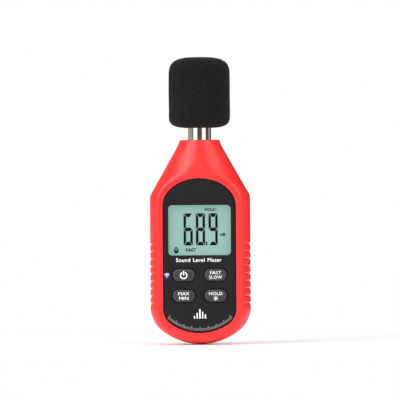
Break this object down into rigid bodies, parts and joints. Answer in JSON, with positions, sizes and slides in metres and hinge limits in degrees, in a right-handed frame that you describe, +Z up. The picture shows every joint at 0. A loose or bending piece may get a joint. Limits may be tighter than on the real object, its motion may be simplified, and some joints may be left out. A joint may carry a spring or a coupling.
{
  "type": "sound level meter",
  "caption": "Hand-held sound level meter: round-ended case with a recessed panel, display and keys, a metal microphone tube under a foam windscreen, and a battery bay behind.",
  "frame": {"origin": "under the middle of the upright meter, at the bottom of its bounding box, on the microphone's axis", "axes": "+Z up along the meter towards the microphone, the display faces -Y, +X to the right of someone reading it"},
  "size_m": [0.055, 0.034, 0.1579],
  "materials": {
    "case_red": "fine satin moulded red plastic",
    "panel_grey": "fine matte dark grey",
    "window": "clear gloss",
    "gasket_black": "matte black",
    "display": "grey-green liquid crystal cell",
    "white_plastic": "white moulded plastic",
    "board": "green solder mask",
    "chip_black": "matte black epoxy",
    "steel": "plated steel",
    "components": "mixed ceramic and plastic parts",
    "silicone": "soft translucent silicone",
    "key_grey": "fine matte mid grey",
    "polished_tube": "polished plated metal",
    "capsule": "plated brass",
    "black_plastic": "black moulded plastic",
    "lead_sheath": "insulated wire",
    "foam": "open-cell black foam",
    "label": "blank printed film",
    "cell": "plain printed film over a metal can",
    "brass": "turned brass"
  },
  "bodies": {
    "case": {"front_shell": "case_red", "rear_shell": "case_red", "front_panel": "panel_grey", "display_window": "window", "display_gasket": "gasket_black", "lcd_glass": "display", "lcd_frame": "white_plastic", "light_guide": "white_plastic", "zebra_strips": "gasket_black", "main_board": "board", "processor": "chip_black", "crystal": "steel", "radio_module": "steel", "board_parts": "components", "keypad_mat": "silicone", "mic_tube": "polished_tube", "mic_grid": "polished_tube", "mic_capsule": "capsule", "mic_seal": "gasket_black", "mic_holder": "black_plastic", "mic_lead": "lead_sheath", "battery_1": "cell", "battery_2": "cell", "battery_3": "cell", "battery_springs": "steel", "battery_contacts": "steel", "battery_leads": "lead_sheath", "tripod_insert": "brass", "case_screws": "steel", "board_screws": "steel"},
    "button_power": {"button_power": "key_grey"},
    "button_response": {"button_response": "key_grey"},
    "button_max_min": {"button_max_min": "key_grey"},
    "button_hold": {"button_hold": "key_grey"},
    "windscreen": {"windscreen": "foam"},
    "battery_door": {"battery_door": "case_red", "door_pad": "gasket_black", "rating_label": "label"},
    "door_screw": {"door_screw": "steel"}
  },
  "joints": [
    {"name": "button_power_press", "type": "slide", "parent": "case", "child": "button_power", "axis": [0, 1, 0], "range_m": [0, 0.0008], "stiffness_N_per_m": 600},
    {"name": "button_response_press", "type": "slide", "parent": "case", "child": "button_response", "axis": [0, 1, 0], "range_m": [0, 0.0008], "stiffness_N_per_m": 600},
    {"name": "button_max_min_press", "type": "slide", "parent": "case", "child": "button_max_min", "axis": [0, 1, 0], "range_m": [0, 0.0008], "stiffness_N_per_m": 600},
    {"name": "button_hold_press", "type": "slide", "parent": "case", "child": "button_hold", "axis": [0, 1, 0], "range_m": [0, 0.0008], "stiffness_N_per_m": 600},
    {"name": "windscreen_pull", "type": "slide", "parent": "case", "child": "windscreen", "axis": [0, 0, 1], "range_m": [0, 0.045]},
    {"name": "battery_door_tilt", "type": "hinge", "parent": "case", "child": "battery_door", "pos_m": [0, 0.0133, 0.0704], "axis": [1, 0, 0], "range_deg": [0, 60]},
    {"name": "door_screw_turn", "type": "hinge", "parent": "battery_door", "child": "door_screw", "pos_m": [0, 0.0145, 0.012], "axis": [0, 1, 0], "continuous": true}
  ]
}
